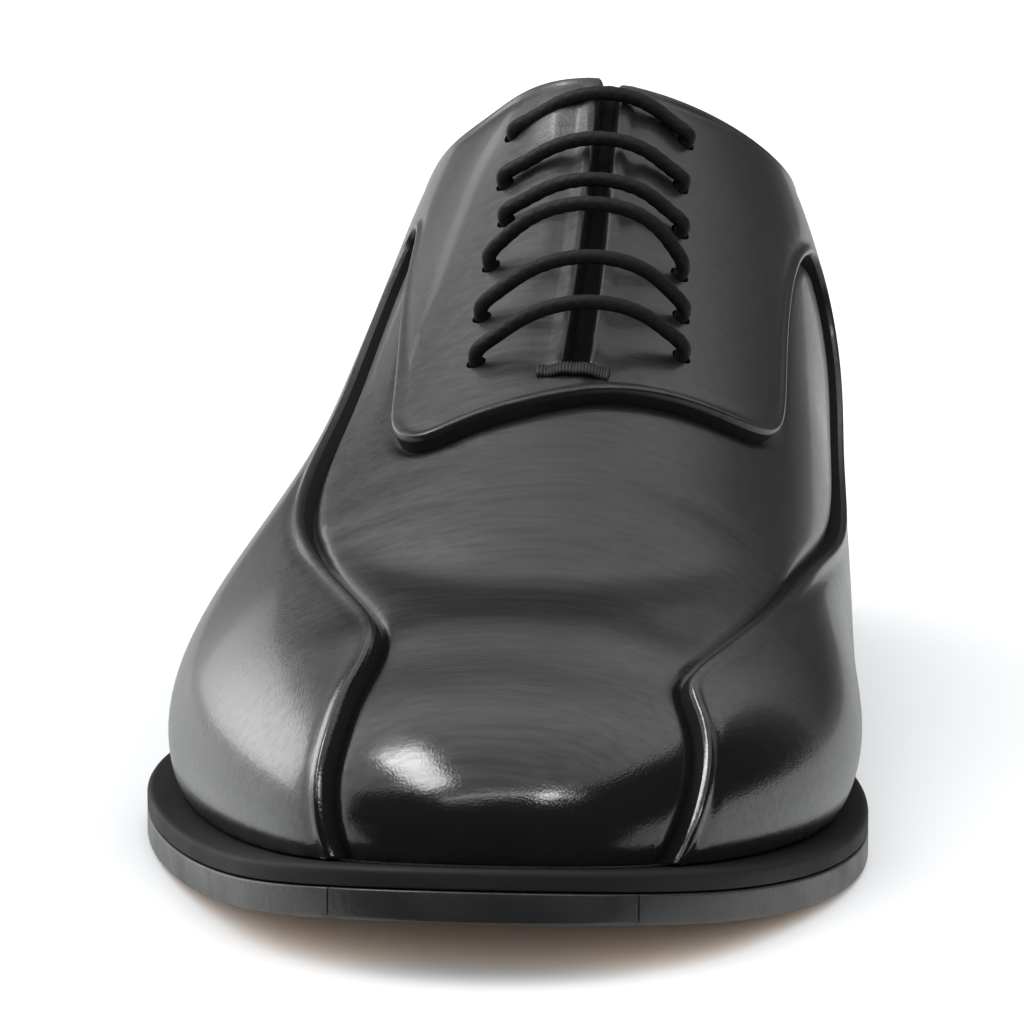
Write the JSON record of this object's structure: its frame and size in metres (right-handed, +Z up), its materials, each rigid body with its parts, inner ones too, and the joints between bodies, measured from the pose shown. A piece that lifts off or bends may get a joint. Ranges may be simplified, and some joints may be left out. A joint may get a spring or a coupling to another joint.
{
  "type": "dress shoe",
  "caption": "Black closed-lacing dress shoe with a hollow lasted upper, one-piece quarters and facing, welted leather sole and a stacked heel.",
  "frame": {"origin": "on the floor under the middle of the shoe's box", "axes": "+Z up, -Y towards the toe, +X towards the inner (medial) side of the right foot"},
  "size_m": [0.1066, 0.303, 0.103],
  "materials": {
    "black_calf": "glossy burnished black calf",
    "lining_leather": "matte natural lining leather",
    "edge_black": "satin black edge dressing",
    "sole_leather": "satin natural sole leather",
    "stack_leather": "satin black stacked leather",
    "black_rubber": "matte black rubber",
    "waxed_cord": "waxed round black cord"
  },
  "bodies": {
    "root": {"upper": "black_calf", "quarters": "black_calf", "backstay": "black_calf", "tongue": "black_calf", "insole": "lining_leather", "welt": "edge_black", "outsole": "sole_leather", "toe_plate": "black_rubber", "heel_lift_upper": "stack_leather", "heel_lift_lower": "stack_leather", "top_piece_rubber": "black_rubber", "top_piece_leather": "sole_leather", "lace_bar_1": "waxed_cord", "lace_bar_2": "waxed_cord", "lace_bar_3": "waxed_cord", "lace_bar_4": "waxed_cord", "lace_bar_5": "waxed_cord", "lace_bar_6": "waxed_cord"}
  },
  "joints": []
}
